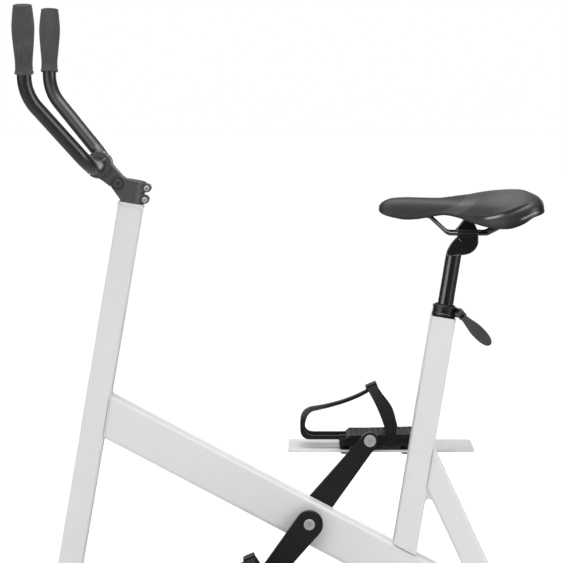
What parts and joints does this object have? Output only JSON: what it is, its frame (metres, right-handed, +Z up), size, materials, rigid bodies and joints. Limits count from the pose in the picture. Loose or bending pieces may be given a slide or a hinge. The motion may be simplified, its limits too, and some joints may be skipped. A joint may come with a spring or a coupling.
{
  "type": "aqua bike",
  "caption": "Aqua bike for pool exercise: square-tube frame, saddle on a sliding post, upright bars on a tilting stem, and pedals with toe clips, straps and water resistance plates.",
  "frame": {"origin": "on the floor, under the middle of the whole bike's box", "axes": "+Z up; the bike faces -X, so the handlebar is at -X and the saddle at +X; the rider's left is -Y"},
  "size_m": [0.9494, 0.5276, 1.247],
  "materials": {
    "frame_paint": "satin",
    "boot_rubber": "matte",
    "wheel_rubber": "matte",
    "crank_alloy": "satin",
    "gloss_black_tube": "gloss",
    "clamp_alloy": "gloss",
    "stem_alloy": "satin",
    "saddle_clamp_alloy": "satin",
    "black_plastic": "matte",
    "strap_webbing": "matte",
    "plate_plastic": "satin",
    "saddle_skin": "satin",
    "grip_rubber": "matte",
    "lever_plastic": "matte",
    "stainless_steel": "satin"
  },
  "bodies": {
    "frame": {"front_post": "frame_paint", "down_tube": "frame_paint", "seat_tube": "frame_paint", "rear_leg": "frame_paint", "front_foot_tube": "frame_paint", "foot_boot_front_left": "boot_rubber", "foot_boot_front_right": "boot_rubber", "wheel_axle_left": "stainless_steel", "wheel_axle_right": "stainless_steel", "rear_foot_tube": "frame_paint", "foot_boot_rear_left": "boot_rubber", "foot_boot_rear_right": "boot_rubber", "bottom_bracket_shell": "frame_paint", "bearing_right": "stainless_steel", "bearing_left": "stainless_steel", "seat_post_sleeve": "black_plastic", "seat_clamp_ring": "clamp_alloy", "clamp_skewer": "stainless_steel", "steerer_tube": "frame_paint", "stem_base": "stem_alloy", "stem_top_cap": "stem_alloy", "stem_pinch_bolt_lower": "stainless_steel", "stem_pinch_bolt_upper": "stainless_steel", "stem_pivot_bolt": "stainless_steel"},
    "cranks": {"crank_spindle": "stainless_steel", "crank_left": "crank_alloy", "crank_right": "crank_alloy", "crank_bolt_left": "stainless_steel", "crank_bolt_right": "stainless_steel", "pedal_axle_left": "stainless_steel", "pedal_axle_right": "stainless_steel"},
    "seat_post": {"seat_post": "gloss_black_tube"},
    "saddle_clamp": {"lower_cradle": "saddle_clamp_alloy", "upper_clamp": "saddle_clamp_alloy", "cradle_bolt": "stainless_steel"},
    "saddle": {"saddle_rails": "gloss_black_tube", "saddle_shell": "black_plastic", "saddle_cover": "saddle_skin"},
    "seat_clamp_lever": {"clamp_lever": "lever_plastic"},
    "stem_arm": {"stem_arm": "stem_alloy", "stem_faceplate": "stem_alloy", "faceplate_bolt_lower": "stainless_steel", "faceplate_bolt_upper": "stainless_steel"},
    "handlebar": {"handlebar": "gloss_black_tube", "grip_left": "grip_rubber", "grip_right": "grip_rubber"},
    "transport_wheel_left": {"wheel_left": "wheel_rubber"},
    "transport_wheel_right": {"wheel_right": "wheel_rubber"},
    "pedal_left": {"pedal_body_left": "black_plastic", "toe_clip_left": "black_plastic", "toe_strap_left": "strap_webbing", "resistance_plate_left": "plate_plastic", "plate_bolt_front_left": "stainless_steel", "plate_bolt_rear_left": "stainless_steel"},
    "pedal_right": {"pedal_body_right": "black_plastic", "toe_clip_right": "black_plastic", "toe_strap_right": "strap_webbing", "resistance_plate_right": "plate_plastic", "plate_bolt_front_right": "stainless_steel", "plate_bolt_rear_right": "stainless_steel"}
  },
  "joints": [
    {"name": "crank_spin", "type": "hinge", "parent": "frame", "child": "cranks", "pos_m": [0.05343, 0, 0.365], "axis": [0, 1, 0], "continuous": true},
    {"name": "left_pedal_spin", "type": "hinge", "parent": "cranks", "child": "pedal_left", "pos_m": [-0.05178, -0.089, 0.23083], "axis": [0, 1, 0], "continuous": true},
    {"name": "right_pedal_spin", "type": "hinge", "parent": "cranks", "child": "pedal_right", "pos_m": [0.15863, 0.089, 0.49917], "axis": [0, 1, 0], "continuous": true},
    {"name": "seat_height", "type": "slide", "parent": "frame", "child": "seat_post", "axis": [0.1582, 0, 0.9874], "range_m": [-0.08, 0.12]},
    {"name": "saddle_tilt", "type": "hinge", "parent": "seat_post", "child": "saddle_clamp", "pos_m": [0.32143, 0, 0.863], "axis": [0, 1, 0], "range_deg": [-12, 12]},
    {"name": "saddle_slide", "type": "slide", "parent": "saddle_clamp", "child": "saddle", "axis": [1, 0, 0], "range_m": [-0.01, 0.01]},
    {"name": "clamp_lever_swing", "type": "hinge", "parent": "frame", "child": "seat_clamp_lever", "pos_m": [0.31043, -0.0186, 0.72535], "axis": [-0.7133, 0, -0.7009], "range_deg": [0, 120]},
    {"name": "stem_tilt", "type": "hinge", "parent": "frame", "child": "stem_arm", "pos_m": [-0.27154, 0, 0.94798], "axis": [0, 1, 0], "range_deg": [-35, 8]},
    {"name": "handlebar_roll", "type": "hinge", "parent": "stem_arm", "child": "handlebar", "pos_m": [-0.30479, 0, 0.97889], "axis": [0, 1, 0], "range_deg": [-20, 20]},
    {"name": "left_wheel_spin", "type": "hinge", "parent": "frame", "child": "transport_wheel_left", "pos_m": [-0.44868, -0.1651, 0.035], "axis": [0, 1, 0], "continuous": true},
    {"name": "right_wheel_spin", "type": "hinge", "parent": "frame", "child": "transport_wheel_right", "pos_m": [-0.44868, 0.1651, 0.035], "axis": [0, 1, 0], "continuous": true}
  ]
}
